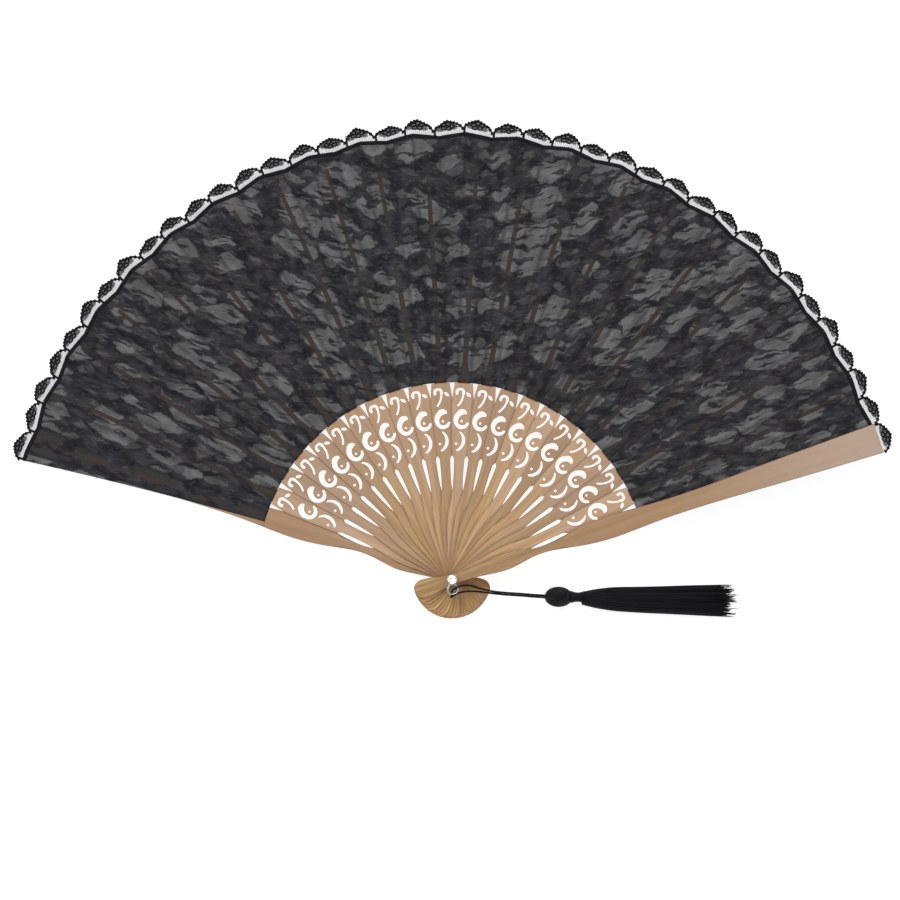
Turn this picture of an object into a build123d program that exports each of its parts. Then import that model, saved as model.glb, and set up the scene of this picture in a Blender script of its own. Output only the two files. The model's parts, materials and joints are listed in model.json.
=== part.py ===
"""A folding hand fan that lies open and flat.

It has two guards, twenty carved sticks, a lace leaf, a rivet with a set stone, and a tassel. The origin is on
the rivet's axis, in the plane that the rear guard rests on. +Z points up, and the leaf opens towards +Y.
Millimetres.
"""

import math
import os

from build123d import *

os.makedirs("parts", exist_ok=True)

# ---- Driving dimensions -------------------------------------------------------------------------

spread = 143.4  # degrees between the two guards' centre lines
inner_sticks = 20
pitch = spread / (inner_sticks + 1)  # degrees from one stick to the next
first_angle = 90 + spread / 2  # degrees, where the rear guard points

guard_thickness = 1.8
level_pitch = 0.65  # each stick lies this much above the one before
head_thickness = 0.58
rib_thickness = 0.25  # under the leaf a stick is pared to this
leaf_thickness = 0.28
glue_gap = 0.04  # between a rib and the leaf over it

tail_length = 16.5  # from the rivet to the tails' round ends
tail_radius = 3.9
head_length = 81.8  # from the rivet to where the leaf begins
rib_length = 179.0
rib_root_half_width, rib_neck_half_width, rib_tip_half_width = 2.6, 1.1, 0.85
rib_shoulder = 9.0  # a rib narrows over this length beyond its stick's head
guard_length = 187.0
rear_guard_length = 184.8  # the leaf's edge hides the rear guard's tip

leaf_inner_radius = 82.0
leaf_outer_radius = 187.6
leaf_overhang = 2.1  # degrees that the leaf reaches past the rear guard's centre line
scallops_per_panel = 2
scallop_radius = 4.2
scallop_centre_radius = 188.2

rivet_radius = 0.90
rivet_hole_radius = 0.96
rivet_head_radius = 1.50
rivet_head_height = 0.60
running_gap = 0.05  # between parts that turn on each other

collar_radius = 1.70
collar_height = 1.45
collar_chamfer = 0.15
guard_chamfer = 0.35
ring_wire_radius = 0.40
ring_radius = 2.10  # to the middle of its wire
ring_centre = (0.2, -4.1)
eye_radius = 1.90
eye_thickness = 0.70
setting_radius = 2.20
setting_base, setting_wall_height = 0.60, 0.35
rivet_reach = 0.40  # how far the rivet goes up into the setting's base
claw_count, claw_radius, claw_height = 8, 0.28, 0.75
stone_radius = 1.85
stone_table_radius = 1.00
stone_sides = 12
girdle_height, crown_height = 0.45, 0.85

cord_diameter = 0.8
ball_length, ball_diameter = 11.7, 8.6
neck_length, neck_radius = 6.0, 2.7
skirt_length = 62.6
skirt_middle, skirt_end = (4.4, 3.7), (7.0, 3.6)  # half width and half height, a quarter along and at the end
skirt_middle_height, skirt_end_height = 4.2, 3.8  # of its middle line, as it sinks towards the floor
tassel_start = (38.6, -7.45, 4.35)  # where the cord goes into the ball
tassel_turn = -0.9  # degrees from +X

# ---- Derived sizes ------------------------------------------------------------------------------

rib_base = guard_thickness + running_gap - level_pitch  # so that stick 1 turns just above the rear guard
stack_top = rib_base + (inner_sticks + 1) * level_pitch + guard_thickness
ring_level = stack_top + collar_height + 2 * running_gap + eye_thickness / 2
setting_level = ring_level + eye_thickness / 2 + running_gap
stone_level = setting_level + setting_base + 0.02
tail_centre = tail_radius - tail_length


def level(index):
    """The underside of stick number index, where 0 is the rear guard and the last is the front guard."""
    return rib_base + index * level_pitch


def stick_plane(index, z):
    """A plane at height z whose X runs along stick number index, from the rivet to its tip."""
    angle = math.radians(first_angle - index * pitch)
    return Plane(origin=(0, 0, z), x_dir=(math.cos(angle), math.sin(angle), 0), z_dir=(0, 0, 1))


# ---- Outlines, drawn along X from the rivet -----------------------------------------------------

tail_half_widths = [(tail_centre, tail_radius), (-5.5, 2.9), (0.5, 2.15)]
stick_half_widths = tail_half_widths + [
    (13.3, 2.75), (24.6, 3.4), (31.0, 2.85), (36.8, 2.2), (41.0, 2.0), (46.0, 2.04), (50.3, 2.2),
]
head_half_widths = [(51.6, 3.12), (60.0, 3.75), (68.0, 4.22), (75.2, 4.5), (head_length, 3.8)]
guard_half_widths = tail_half_widths + [
    (13.3, 2.65), (24.6, 3.4), (34.4, 1.8), (41.0, 1.5), (53.4, 3.3), (67.9, 4.7), (86.0, 4.0),
    (103.0, 3.7), (141.0, 4.9), (guard_length, 6.35),
]

with BuildSketch() as stick_head:
    with BuildLine():
        shank_side = Spline(*stick_half_widths, tangents=[(1, 0), (1, 0.05)])
        head_side = Spline(*head_half_widths, tangents=[(1, 0.08), (1, -0.12)])
        Line(shank_side @ 1, head_side @ 0)
        Line(head_side @ 1, (head_length, 0))
        RadiusArc((-tail_length, 0), shank_side @ 0, tail_radius)
        mirror(about=Plane.XZ)
    make_face()
    Circle(rivet_hole_radius, mode=Mode.SUBTRACT)

rib_root = head_length - 2  # inside the head, so that the two make one solid

with BuildSketch() as stick_rib:
    with BuildLine():
        rib_side = Polyline(
            (rib_root, rib_root_half_width),
            (head_length + 1, rib_root_half_width),
            (head_length + rib_shoulder, rib_neck_half_width),
            (rib_length, rib_tip_half_width),
        )
        Line(rib_side @ 1, (rib_length, 0))
        Line((rib_root, 0), rib_side @ 0)
        mirror(about=Plane.XZ)
    make_face()

with BuildSketch() as guard_outline:
    with BuildLine():
        side = Spline(*guard_half_widths, tangents=[(1, 0), (1, 0.03)])
        Line(side @ 1, (guard_length, 0))
        RadiusArc((-tail_length, 0), side @ 0, tail_radius)
        mirror(about=Plane.XZ)
    make_face()
    Circle(rivet_hole_radius, mode=Mode.SUBTRACT)

# The carving of one stick. From the leaf inwards: a hook with a comma beside it, a curl round an island
# with a dot in it, and a crescent with a dot.
with BuildSketch() as carving:
    with BuildLine(mode=Mode.PRIVATE):
        hook_curl = ThreePointArc((77.4, 2.55), (79.35, 1.2), (77.5, -0.15))
        hook_stem = ThreePointArc((77.3, -0.1), (75.0, 0.3), (72.4, 1.8))
    SlotArc(hook_curl, 1.2)
    SlotArc(hook_stem, 0.8)
    with BuildLine():
        ThreePointArc((78.0, -1.25), (77.7, -2.6), (76.2, -3.3))
        ThreePointArc((76.2, -3.3), (76.4, -2.1), (78.0, -1.25))
    make_face()
    with BuildLine():
        ThreePointArc((69.8, -2.0), (71.0, 0.2), (69.9, 1.9))
        ThreePointArc((69.9, 1.9), (66.0, 3.35), (63.2, 1.7))
        ThreePointArc((63.2, 1.7), (62.9, -1.3), (65.4, -3.15))
        Line((65.4, -3.15), (65.6, -2.2))
        ThreePointArc((65.6, -2.2), (64.2, -0.4), (65.1, 1.35))
        ThreePointArc((65.1, 1.35), (67.2, 1.2), (68.9, -1.9))
        Line((68.9, -1.9), (69.8, -2.0))
    make_face()
    with Locations((65.9, 0)):
        Circle(0.5)
    with BuildLine():
        ThreePointArc((61.6, 0.1), (57.4, -1.95), (53.3, 1.1))
        Line((53.3, 1.1), (53.8, 1.7))
        ThreePointArc((53.8, 1.7), (57.3, -0.6), (61.5, 0.75))
        Line((61.5, 0.75), (61.6, 0.1))
    make_face()
    with Locations((56.5, 1.75)):
        Circle(0.55)

with BuildSketch() as carved_head:
    add(stick_head.sketch)
    add(carving.sketch, mode=Mode.SUBTRACT)


# ---- Guards and sticks --------------------------------------------------------------------------

with BuildPart() as rear_guard:
    with BuildSketch(stick_plane(0, 0)):
        add(guard_outline.sketch)
    extrude(amount=guard_thickness)
    with BuildSketch(stick_plane(0, rib_base + rib_thickness)):
        with Locations((head_length, 0)):
            Rectangle(guard_length, 4 * tail_radius, align=(Align.MIN, Align.CENTER))
    extrude(amount=guard_thickness, mode=Mode.SUBTRACT)
    with BuildSketch(stick_plane(0, 0)):
        with Locations((rear_guard_length, 0)):
            Rectangle(guard_length, 4 * tail_radius, align=(Align.MIN, Align.CENTER))
    extrude(amount=guard_thickness, mode=Mode.SUBTRACT)
    with BuildSketch(Plane.XY):
        Circle(rivet_head_radius + running_gap)
    extrude(amount=rivet_head_height + running_gap, mode=Mode.SUBTRACT)
rear_guard.part.label = "rear_guard"
export_step(rear_guard.part, "parts/rear_guard.step")

with BuildPart() as front_guard:
    with BuildSketch(stick_plane(inner_sticks + 1, level(inner_sticks + 1))):
        add(guard_outline.sketch)
    extrude(amount=guard_thickness)
    top_rim = front_guard.faces().sort_by(Axis.Z)[-1].outer_wire()
    chamfer(top_rim.edges(), length=guard_chamfer)
front_guard.part.label = "front_guard"
export_step(front_guard.part, "parts/front_guard.step")

for number in range(1, inner_sticks + 1):
    with BuildPart() as stick:
        with BuildSketch(stick_plane(number, level(number))):
            add(carved_head.sketch)
        extrude(amount=head_thickness)
        with BuildSketch(stick_plane(number, level(number))):
            add(stick_rib.sketch)
        extrude(amount=rib_thickness)
    stick.part.label = f"stick_{number:02d}"
    export_step(stick.part, f"parts/stick_{number:02d}.step")


# ---- Leaf, one panel for each gap between sticks ------------------------------------------------


def polar(radius, degrees):
    """A point at this radius and angle from a stick's centre line."""
    return (radius * math.cos(math.radians(degrees)), radius * math.sin(math.radians(degrees)))


for number in range(1, inner_sticks + 2):
    # A panel is glued over the stick before the gap, and reaches under the stick after it. The first starts
    # at the rear guard's outer edge, and the last ends at the front guard's centre line.
    left = leaf_overhang if number == 1 else pitch / 4
    right = -pitch if number == inner_sticks + 1 else pitch / 4 - pitch
    middle = (left + right) / 2
    with BuildPart() as leaf:
        with BuildSketch(stick_plane(number - 1, level(number - 1) + rib_thickness + glue_gap)):
            with BuildLine():
                ThreePointArc(*(polar(leaf_inner_radius, angle) for angle in (left, middle, right)))
                Line(polar(leaf_inner_radius, right), polar(leaf_outer_radius, right))
                ThreePointArc(*(polar(leaf_outer_radius, angle) for angle in (right, middle, left)))
                Line(polar(leaf_outer_radius, left), polar(leaf_inner_radius, left))
            make_face()
            step = (left - right) / scallops_per_panel
            scallop_angles = [left - (turn + 0.5) * step for turn in range(scallops_per_panel)]
            with Locations(*(polar(scallop_centre_radius, angle) for angle in scallop_angles)):
                Circle(scallop_radius)
        extrude(amount=leaf_thickness)
    leaf.part.label = f"leaf_{number:02d}"
    export_step(leaf.part, f"parts/leaf_{number:02d}.step")


# ---- Rivet, collar and set stone ----------------------------------------------------------------

with BuildPart() as rivet:
    with BuildSketch(Plane.XY):
        Circle(rivet_head_radius)
    extrude(amount=rivet_head_height)
    with BuildSketch(Plane.XY):
        Circle(rivet_radius)
    extrude(amount=setting_level + rivet_reach)
rivet.part.label = "rivet"
export_step(rivet.part, "parts/rivet.step")

with BuildPart() as collar:
    with BuildSketch(Plane.XY.offset(stack_top + running_gap)):
        Circle(collar_radius)
        Circle(rivet_hole_radius, mode=Mode.SUBTRACT)
    extrude(amount=collar_height)
    chamfer(collar.edges().filter_by(GeomType.CIRCLE).sort_by(SortBy.RADIUS)[-2:], length=collar_chamfer)
collar.part.label = "rivet_collar"
export_step(collar.part, "parts/rivet_collar.step")

with BuildPart() as setting:
    with BuildSketch(Plane.XY.offset(setting_level)):
        Circle(setting_radius)
    extrude(amount=setting_base)
    with BuildSketch(Plane.XY.offset(setting_level)):
        Circle(rivet_radius + 0.02)
    extrude(amount=rivet_reach + 0.02, mode=Mode.SUBTRACT)
    with BuildSketch(Plane.XY.offset(setting_level + setting_base)):
        Circle(setting_radius)
        Circle(stone_radius + running_gap, mode=Mode.SUBTRACT)
    extrude(amount=setting_wall_height)
    with BuildSketch(Plane.XY.offset(setting_level + setting_base)):
        with PolarLocations(setting_radius - 0.1, claw_count):
            Circle(claw_radius)
        Circle(stone_radius + 0.03, mode=Mode.SUBTRACT)
    extrude(amount=claw_height)
setting.part.label = "stone_setting"
export_step(setting.part, "parts/stone_setting.step")

with BuildPart() as stone:
    with BuildSketch(Plane.XY.offset(stone_level)):
        RegularPolygon(stone_radius, stone_sides)
    with BuildSketch(Plane.XY.offset(stone_level + girdle_height)):
        RegularPolygon(stone_radius, stone_sides)
    loft(ruled=True)
    with BuildSketch(Plane.XY.offset(stone_level + girdle_height)):
        RegularPolygon(stone_radius, stone_sides)
    with BuildSketch(Plane.XY.offset(stone_level + girdle_height + crown_height)):
        RegularPolygon(stone_table_radius, stone_sides, rotation=180 / stone_sides)
    loft(ruled=True)
stone.part.label = "stone"
export_step(stone.part, "parts/stone.step")

# ---- Tassel -------------------------------------------------------------------------------------

with BuildPart() as tassel_ring:
    with BuildSketch(Plane.XY.offset(ring_level - eye_thickness / 2)):
        Circle(eye_radius)
    extrude(amount=eye_thickness)
    with BuildSketch(Plane.YZ.offset(ring_centre[0])):
        with Locations((ring_centre[1] + ring_radius, ring_level)):
            Circle(ring_wire_radius)
    revolve(axis=Axis((*ring_centre, 0), (0, 0, 1)), revolution_arc=360)
    with BuildSketch(Plane.XY.offset(ring_level - eye_thickness)):
        Circle(rivet_hole_radius)
    extrude(amount=2 * eye_thickness, mode=Mode.SUBTRACT)
tassel_ring.part.label = "tassel_ring"
export_step(tassel_ring.part, "parts/tassel_ring.step")

# One cord leaves the ball, rises over the edge of the fan, goes down through the ring and round its wire,
# and comes back beside itself to the ball.
cord_points = [
    (39.5, -7.00, 4.5), (34.2, -6.70, 5.1), (29.4, -6.20, 7.9), (25.0, -5.85, 12.3), (20.9, -5.45, 16.9),
    (16.4, -4.95, 18.6), (11.6, -3.75, 18.9), (7.2, -2.30, 19.3), (3.6, -2.55, 20.0),
    (0.7, -3.85, 19.9), (-0.05, -4.85, 18.55), (-0.35, -5.7, 17.40), (-0.45, -7.45, 17.55),
    (-0.2, -7.45, 19.60), (1.3, -6.1, 19.75), (4.3, -5.05, 19.2),
    (8.3, -4.85, 18.7), (12.4, -5.20, 18.6), (16.6, -5.80, 18.5), (20.9, -6.30, 16.9), (25.0, -6.70, 12.3),
    (29.4, -7.05, 7.9), (34.2, -7.55, 5.1), (39.5, -7.85, 4.5),
]


def bend_radii(points):
    """For each inner point, 0.45 of the shorter run beside it, divided by the tangent of half the turn."""
    radii = []
    for before, here, after in zip(points, points[1:], points[2:]):
        run_in = Vector(*here) - Vector(*before)
        run_out = Vector(*after) - Vector(*here)
        half_turn = math.radians(run_in.get_angle(run_out) / 2)
        radii.append(0.45 * min(run_in.length, run_out.length) / math.tan(half_turn))
    return radii


cord_radii = bend_radii(cord_points)
print("cord bend radii:", [round(radius, 1) for radius in cord_radii])

with BuildPart() as tassel_cord:
    with BuildLine() as cord_path:
        FilletPolyline(*cord_points, radius=cord_radii)
    with BuildSketch(Plane(origin=cord_path.line @ 0, z_dir=cord_path.line % 0)):
        Circle(cord_diameter / 2)
    sweep(path=cord_path.line)
tassel_cord.part.label = "tassel_cord"
export_step(tassel_cord.part, "parts/tassel_cord.step")
cord_length = sum(edge.length for edge in cord_path.edges())
print("cord length:", round(cord_length, 1), "volume ratio:",
      round(tassel_cord.part.volume / (cord_length * math.pi * cord_diameter**2 / 4), 3))

tassel_turned = math.radians(tassel_turn)
tassel_axis = Vector(math.cos(tassel_turned), math.sin(tassel_turned), 0)


def tassel_section(distance, height):
    """An upright plane across the tassel, this far along it and with its middle at this height."""
    foot = Vector(*tassel_start) + tassel_axis * distance
    return Plane(origin=(foot.X, foot.Y, height), x_dir=(-tassel_axis.Y, tassel_axis.X, 0), z_dir=tassel_axis)


tassel_long = Plane(origin=tassel_start, x_dir=tassel_axis, z_dir=(0, 0, 1))
tassel_line = Axis(tassel_start, tassel_axis)

with BuildPart() as tassel_ball:
    with BuildSketch(tassel_long):
        with Locations((ball_length / 2, 0)):
            Ellipse(ball_length / 2, ball_diameter / 2)
            Rectangle(ball_length, ball_diameter, align=(Align.CENTER, Align.MAX), mode=Mode.SUBTRACT)
    revolve(axis=tassel_line, revolution_arc=360)
tassel_ball.part.label = "tassel_ball"
export_step(tassel_ball.part, "parts/tassel_ball.step")

neck_start = ball_length - 0.9
skirt_start = neck_start + neck_length

with BuildPart() as tassel_neck:
    with BuildSketch(tassel_section(neck_start, tassel_start[2])):
        Circle(neck_radius)
    extrude(amount=neck_length)
tassel_neck.part.label = "tassel_neck"
export_step(tassel_neck.part, "parts/tassel_neck.step")

with BuildPart() as tassel_skirt:
    with BuildSketch(tassel_section(skirt_start, tassel_start[2])):
        Ellipse(neck_radius, neck_radius - 0.05)
    with BuildSketch(tassel_section(skirt_start + skirt_length / 4, skirt_middle_height)):
        Ellipse(*skirt_middle)
    with BuildSketch(tassel_section(skirt_start + skirt_length, skirt_end_height)):
        Ellipse(*skirt_end)
    loft(ruled=True)
tassel_skirt.part.label = "tassel_skirt"
export_step(tassel_skirt.part, "parts/tassel_skirt.step")
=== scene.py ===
# %% [markdown]
# # A folding lace fan
# The fan lies open on a pale table. Its frame of bamboo sticks, its rivet and its joints come from the
# imported CAD model. This lesson adds what a drawing office leaves out: wood grain, the pleated lace leaf and
# its crocheted edge, the thread of the tassel and a painted sparkle on the stone. New shapes are grids of
# points that numpy works out, because a pleat, a strand or a scallop is a formula, and a formula can be
# changed in one place.

import json
import math

import bpy
import numpy as np
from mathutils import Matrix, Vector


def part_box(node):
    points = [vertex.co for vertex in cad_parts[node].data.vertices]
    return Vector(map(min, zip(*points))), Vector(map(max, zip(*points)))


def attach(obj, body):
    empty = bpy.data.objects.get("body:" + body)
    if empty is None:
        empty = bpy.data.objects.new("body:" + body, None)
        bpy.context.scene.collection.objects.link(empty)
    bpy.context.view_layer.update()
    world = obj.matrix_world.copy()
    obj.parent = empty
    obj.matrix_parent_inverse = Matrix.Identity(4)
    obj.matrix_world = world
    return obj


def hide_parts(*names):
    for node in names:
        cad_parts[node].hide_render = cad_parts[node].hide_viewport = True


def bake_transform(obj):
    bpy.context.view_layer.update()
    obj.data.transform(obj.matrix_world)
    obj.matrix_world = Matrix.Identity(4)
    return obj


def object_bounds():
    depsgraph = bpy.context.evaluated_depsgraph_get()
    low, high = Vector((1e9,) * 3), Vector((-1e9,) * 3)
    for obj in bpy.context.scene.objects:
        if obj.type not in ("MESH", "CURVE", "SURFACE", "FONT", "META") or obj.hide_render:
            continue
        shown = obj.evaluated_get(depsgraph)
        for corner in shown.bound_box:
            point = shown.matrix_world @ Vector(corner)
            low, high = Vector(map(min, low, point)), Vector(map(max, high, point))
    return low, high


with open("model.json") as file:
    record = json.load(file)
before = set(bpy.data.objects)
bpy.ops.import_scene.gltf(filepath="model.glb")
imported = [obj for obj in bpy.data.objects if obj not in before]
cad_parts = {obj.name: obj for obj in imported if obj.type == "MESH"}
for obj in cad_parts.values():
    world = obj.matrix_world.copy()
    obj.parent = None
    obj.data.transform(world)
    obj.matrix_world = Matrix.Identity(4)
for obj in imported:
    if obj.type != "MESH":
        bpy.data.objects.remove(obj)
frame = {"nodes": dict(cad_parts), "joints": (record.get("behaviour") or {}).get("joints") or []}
cad_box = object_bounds()

MM = 0.001
joints = {joint["name"]: joint for joint in frame["joints"]}
pitch = math.radians(joints["fold_stick_01"]["range_deg"][1])
chain = ["rear_guard"] + [f"stick_{number:02d}" for number in range(1, len(joints) - 1)] + ["front_guard"]
gaps = len(chain) - 1
first_angle = math.pi / 2 + gaps * pitch / 2
print("bodies in the fold:", len(chain), "degrees between sticks:", round(math.degrees(pitch), 3))

# %% [markdown]
# ## The camera
# A fan is shown best from straight above, lying flat. A long lens from far away keeps the front guard,
# which lies a finger's width higher than the rear one, from looking larger than it is.

# %% Camera
camera_data = bpy.data.cameras.new("studio_camera")
camera = bpy.data.objects.new("studio_camera", camera_data)
bpy.context.scene.collection.objects.link(camera)
camera_data.sensor_width = 36
camera_data.lens = 260
camera_data.clip_end = 20
view_width = 0.3752
view_centre = (-0.0009, 0.0538)
middle_height = (cad_box[0][2] + cad_box[1][2]) / 2
camera_height = middle_height + view_width * camera_data.lens / camera_data.sensor_width
camera.location = (*view_centre, camera_height)
bpy.context.scene.camera = camera
bpy.context.scene.view_settings.view_transform = "Standard"
print("camera stands", round(camera_height, 2), "m above the table")

# %% [markdown]
# ## Shader arithmetic
# A material is a graph of nodes, but a formula is easier to read. `Field` wraps one output of the graph,
# and its operators add the Math nodes. `Recipe` holds one material, and its `node` method adds every other
# node.

# %% Field and Recipe


class Field:
    """One output of a shader graph. Arithmetic on it adds Math nodes."""

    def __init__(self, recipe, socket):
        self.recipe, self.socket = recipe, socket

    def math(self, operation, *operands):
        return self.recipe.node("Math", {"operation": operation}, dict(enumerate(operands)))

    def __add__(self, other):
        return self.math("ADD", self, other)

    def __sub__(self, other):
        return self.math("SUBTRACT", self, other)

    def __rsub__(self, other):
        return self.math("SUBTRACT", other, self)

    def __mul__(self, other):
        return self.math("MULTIPLY", self, other)

    def __truediv__(self, other):
        return self.math("DIVIDE", self, other)

    def __pow__(self, other):
        return self.math("POWER", self, other)

    __radd__, __rmul__ = __add__, __mul__

    def size(self):
        return self.math("ABSOLUTE", self)

    def most(self, other):
        return self.math("MAXIMUM", self, other)

    def least(self, other):
        return self.math("MINIMUM", self, other)

    def rising(self, low, high):
        """0 below low, 1 above high, and a smooth step between them."""
        settings = {"interpolation_type": "SMOOTHSTEP"}
        return self.recipe.node("MapRange", settings, {"Value": self, "From Min": low, "From Max": high})


class Recipe:
    """One material, with a Principled shader whose sockets take values or fields."""

    def __init__(self, name, **finish):
        self.material = bpy.data.materials.new(name)
        self.material.use_nodes = True
        self.tree = self.material.node_tree
        self.shader = self.tree.nodes["Principled BSDF"]
        self.set(**finish)

    def node(self, kind, settings=None, inputs=None, output=0):
        """Adds a node: its type, then its settings, then the value or the link of each socket."""
        made = self.tree.nodes.new("ShaderNode" + kind)
        for setting, value in (settings or {}).items():
            if setting == "curve":
                points = made.mapping.curves[0].points
                for _ in value[2:]:
                    points.new(0, 0)
                for point, place in zip(points, value):
                    point.location = place
                made.mapping.update()
            else:
                setattr(made, setting, value)
        for socket, value in (inputs or {}).items():
            if isinstance(value, Field):
                self.tree.links.new(value.socket, made.inputs[socket])
            else:
                made.inputs[socket].default_value = value
        return Field(self, made.outputs[output])

    def set(self, **finish):
        """Sets the shader's sockets, which are named with _ for a space."""
        for name, value in finish.items():
            socket = self.shader.inputs[name.replace("_", " ")]
            if isinstance(value, Field):
                self.tree.links.new(value.socket, socket)
            else:
                socket.default_value = value

    def place(self):
        return self.node("TexCoord", output="Object")

    def stretched(self, place, scale, turn=0.0, shift=(0, 0, 0)):
        """The place turned about Z, scaled along each axis, and then shifted."""
        turned = self.node("Mapping", inputs={"Vector": place, "Rotation": (0, 0, turn)})
        return self.node("Mapping", inputs={"Vector": turned, "Scale": scale, "Location": shift})

    def axis(self, place, letter):
        return self.node("SeparateXYZ", inputs={0: place}, output=letter)

    def noise(self, place, scale=1.0, detail=2.0, roughness=0.5):
        inputs = {"Vector": place, "Scale": scale, "Detail": detail, "Roughness": roughness}
        return self.node("TexNoise", inputs=inputs)

    def mix(self, factor, first, second):
        """The first colour where the factor is 0, and the second where it is 1."""
        return self.node("Mix", {"data_type": "RGBA"}, {0: factor, 6: first, 7: second}, output=2)

    def bump(self, height, strength, distance):
        """Tilts the shading by a height field, whose full height is this distance in metres."""
        inputs = {"Height": height, "Strength": strength, "Distance": distance}
        self.set(Normal=self.node("Bump", inputs=inputs))


def linear(red, green, blue):
    """A colour as a paint chart gives it, from 0 to 255, in the linear values that the shader needs."""
    chart = np.array([red, green, blue]) / 255
    values = np.where(chart <= 0.04045, chart / 12.92, ((chart + 0.055) / 1.055) ** 2.4)
    return (*values.tolist(), 1.0)


# %% [markdown]
# ## Putting a grid into a mesh
# Every new piece is a closed surface over a grid of points. A slab is a cloth with a top, an underside and
# four narrow edges. A tube is a ring of points carried along a path, closed by a point at each end. Both
# are worked out for many paths or panels at once, with no loop over vertices.

# %% Mesh helpers
no_triangles = np.zeros((0, 3), int)
no_quads = np.zeros((0, 4), int)


def make_piece(name, vertices, quads, triangles, material, smooth=True):
    """A mesh object from an array of points and arrays of corner numbers."""
    mesh = bpy.data.meshes.new(name)
    mesh.from_pydata(vertices.reshape(-1, 3).tolist(), [], quads.tolist() + triangles.tolist())
    mesh.polygons.foreach_set("use_smooth", np.full(len(mesh.polygons), smooth))
    mesh.materials.append(material)
    piece = bpy.data.objects.new(name, mesh)
    bpy.context.scene.collection.objects.link(piece)
    return piece


def quads_between(first, second):
    """A row of quads between two rows of corner numbers of the same length."""
    return np.stack([first[:-1], first[1:], second[1:], second[:-1]], axis=1)


def slab(name, top, thickness, material, **flat_places):
    """A closed sheet: the grid `top` (rows, columns, 3), the same grid a thickness lower, and four edges.

    Rows run outwards and columns from left to right, so that a quad taken row by row faces up. Each of the
    `flat_places` is a grid of pairs (rows, columns, 2), which becomes a UV map of that name.
    """
    rows, columns = top.shape[:2]
    under = top - np.array([0, 0, thickness])
    numbers = np.arange(rows * columns).reshape(rows, columns)
    lower = numbers + rows * columns
    corner = numbers[:-1, :-1], numbers[:-1, 1:], numbers[1:, 1:], numbers[1:, :-1]
    upper_faces = np.stack([c.ravel() for c in corner], axis=1)
    lower_faces = upper_faces[:, ::-1] + rows * columns
    edges = [
        quads_between(lower[0], numbers[0]),
        quads_between(numbers[-1], lower[-1]),
        quads_between(numbers[:, 0], lower[:, 0]),
        quads_between(lower[:, -1], numbers[:, -1]),
    ]
    quads = np.concatenate([upper_faces, lower_faces, *edges])
    piece = make_piece(name, np.stack([top, under]), quads, no_triangles, material)
    corners = np.zeros(len(piece.data.loops), int)
    piece.data.loops.foreach_get("vertex_index", corners)
    for layer, flat_place in flat_places.items():
        flat = np.concatenate([flat_place.reshape(-1, 2)] * 2)
        piece.data.uv_layers.new(name=layer).uv.foreach_set("vector", flat[corners].ravel())
    return piece


def tubes(paths, radii, sides=6, flatten=1.0):
    """Rings of points along many paths at once: the points and the faces.

    `paths` is (tubes, steps, 3) and `radii` is (tubes, steps). A ring lies across its path: one direction is
    level, at right angles to the path, and the other is square to both. `flatten` scales that other one.
    """
    count, steps = paths.shape[:2]
    along = np.gradient(paths, axis=1)
    along /= np.linalg.norm(along, axis=2, keepdims=True)
    level = np.cross(along, [0.0, 0.0, 1.0])
    level /= np.maximum(np.linalg.norm(level, axis=2, keepdims=True), 1e-9)
    upright = np.cross(level, along)
    turn = np.linspace(0, 2 * np.pi, sides, endpoint=False)
    ring = (
        level[:, :, None] * np.cos(turn)[:, None]
        + upright[:, :, None] * np.sin(turn)[:, None] * flatten
    ) * radii[:, :, None, None]
    body = (paths[:, :, None] + ring).reshape(count, -1, 3)
    points = np.concatenate([body, paths[:, :1], paths[:, -1:]], axis=1)
    number = np.arange(steps * sides).reshape(steps, sides)
    after = np.roll(number, -1, axis=1)
    quads = np.stack([number[:-1], number[1:], after[1:], after[:-1]], axis=2).reshape(-1, 4)
    start, end = steps * sides, steps * sides + 1
    caps = np.concatenate([
        np.stack([number[0], after[0], np.full(sides, start)], axis=1),
        np.stack([after[-1], number[-1], np.full(sides, end)], axis=1),
    ])
    shift = (np.arange(count) * (steps * sides + 2))[:, None, None]
    return points, (quads[None] + shift).reshape(-1, 4), (caps[None] + shift).reshape(-1, 3)


def gather(parts):
    """Several (points, quads, triangles) as one, with the corner numbers moved on."""
    points, quads, triangles, used = [], [], [], 0
    for part_points, part_quads, part_triangles in parts:
        flat = part_points.reshape(-1, 3)
        points.append(flat)
        quads.append(part_quads + used)
        triangles.append(part_triangles + used)
        used += len(flat)
    return np.concatenate(points), np.concatenate(quads), np.concatenate(triangles)


def show(piece):
    """Prints a piece's name, its triangles and its volume, which is negative if the piece is inside out."""
    mesh = piece.data
    mesh.calc_loop_triangles()
    corners = np.zeros(len(mesh.loop_triangles) * 3, int)
    mesh.loop_triangles.foreach_get("vertices", corners)
    co = np.zeros(len(mesh.vertices) * 3)
    mesh.vertices.foreach_get("co", co)
    a, b, c = (co.reshape(-1, 3)[corners.reshape(-1, 3)[:, side]] for side in range(3))
    volume = np.einsum("ij,ij->", a, np.cross(b, c)) / 6
    print(f"{piece.name}: {len(mesh.loop_triangles)} triangles, {volume * 1e9:.1f} cubic mm")
    return piece


def dress(node, material):
    """Gives a CAD node this material and no other."""
    slots = frame["nodes"][node].data.materials
    slots.clear()
    slots.append(material)


# %% [markdown]
# ## Black thread
# The cord and the tassel are rayon: dark, smooth and a little silky, so each strand has a soft highlight.
# Fine noise along the yarn breaks the highlight up, and a trace of blue keeps the black from looking like
# paint.

# %% Thread recipe


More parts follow.
